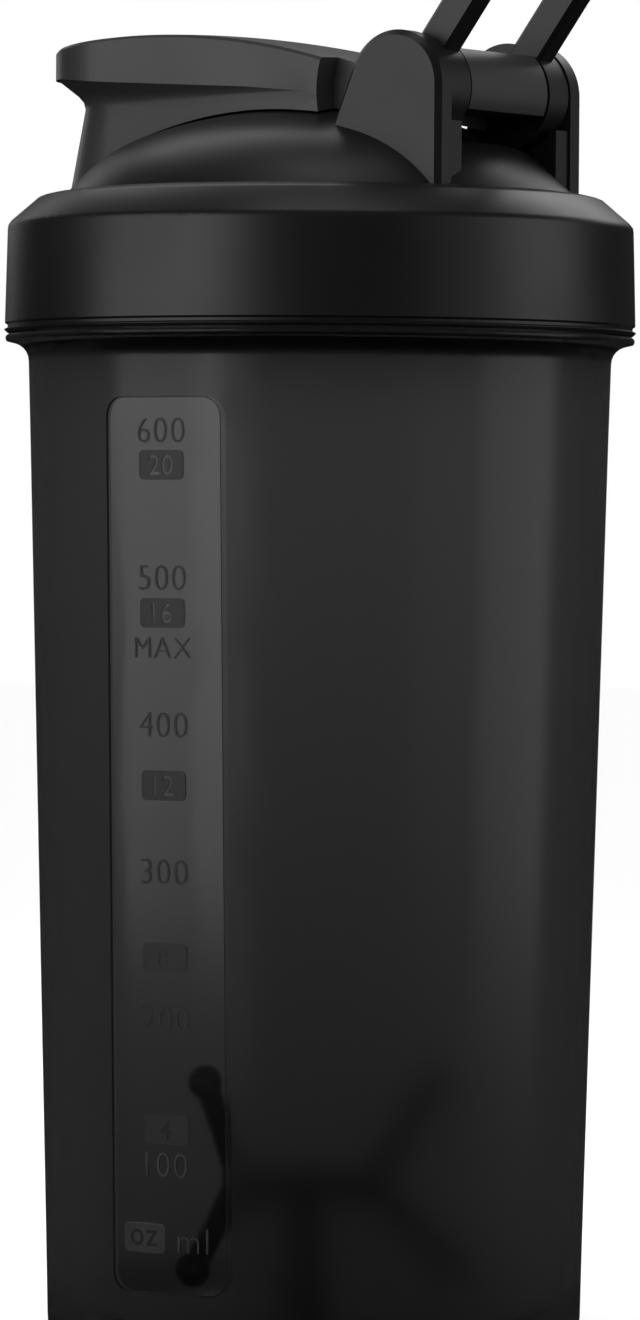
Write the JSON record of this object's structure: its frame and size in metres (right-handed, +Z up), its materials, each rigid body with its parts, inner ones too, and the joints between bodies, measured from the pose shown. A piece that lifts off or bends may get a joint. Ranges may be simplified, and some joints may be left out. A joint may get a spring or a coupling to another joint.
{
  "type": "protein shaker bottle",
  "caption": "Tapered shaker cup with a measuring window, screw lid, flip cap over a spout, carry loop and a loose mixer.",
  "frame": {"origin": "centre of the foot ring, on the surface that the bottle stands on", "axes": "+Z up along the bottle's axis, -X towards the drinking spout, +X towards the hinge of the flip cap and loop"},
  "size_m": [0.1051, 0.0924, 0.2281],
  "materials": {
    "cup_plastic": "smoke grey translucent polypropylene, frosted, with a smooth window",
    "lid_plastic": "black satin moulded polypropylene",
    "cap_plastic": "black satin moulded polypropylene",
    "loop_plastic": "black satin moulded polypropylene",
    "seal_silicone": "grey moulded silicone",
    "mixer_plastic": "black moulded polypropylene"
  },
  "bodies": {
    "cup": {"cup": "cup_plastic"},
    "lid_seal": {"lid_seal": "seal_silicone"},
    "lid": {"lid": "lid_plastic"},
    "flip_cap": {"flip_cap": "cap_plastic", "spout_seal": "seal_silicone"},
    "carry_loop": {"carry_loop": "loop_plastic"},
    "mixer": {"mixer": "mixer_plastic"}
  },
  "joints": [
    {"name": "lid_lift", "type": "slide", "parent": "cup", "child": "lid_seal", "axis": [0, 0, 1], "range_m": [0, 0.02]},
    {"name": "lid_turn", "type": "hinge", "parent": "lid_seal", "child": "lid", "pos_m": [0, 0, 0.155], "axis": [0, 0, 1], "range_deg": [0, 720]},
    {"name": "flip_cap_hinge", "type": "hinge", "parent": "lid", "child": "flip_cap", "pos_m": [0.0254, 0, 0.1832], "axis": [0, 1, 0], "range_deg": [0, 94]},
    {"name": "carry_loop_hinge", "type": "hinge", "parent": "lid", "child": "carry_loop", "pos_m": [0.0254, 0, 0.1832], "axis": [0, 1, 0], "range_deg": [0, 73]},
    {"name": "mixer_travel", "type": "slide", "parent": "cup", "child": "mixer", "axis": [0, 0, 1], "range_m": [0, 0.11]}
  ],
  "couplings": [
    {"joint": "lid_lift", "follows": "lid_turn", "m_per_rad": 0.0015915}
  ]
}
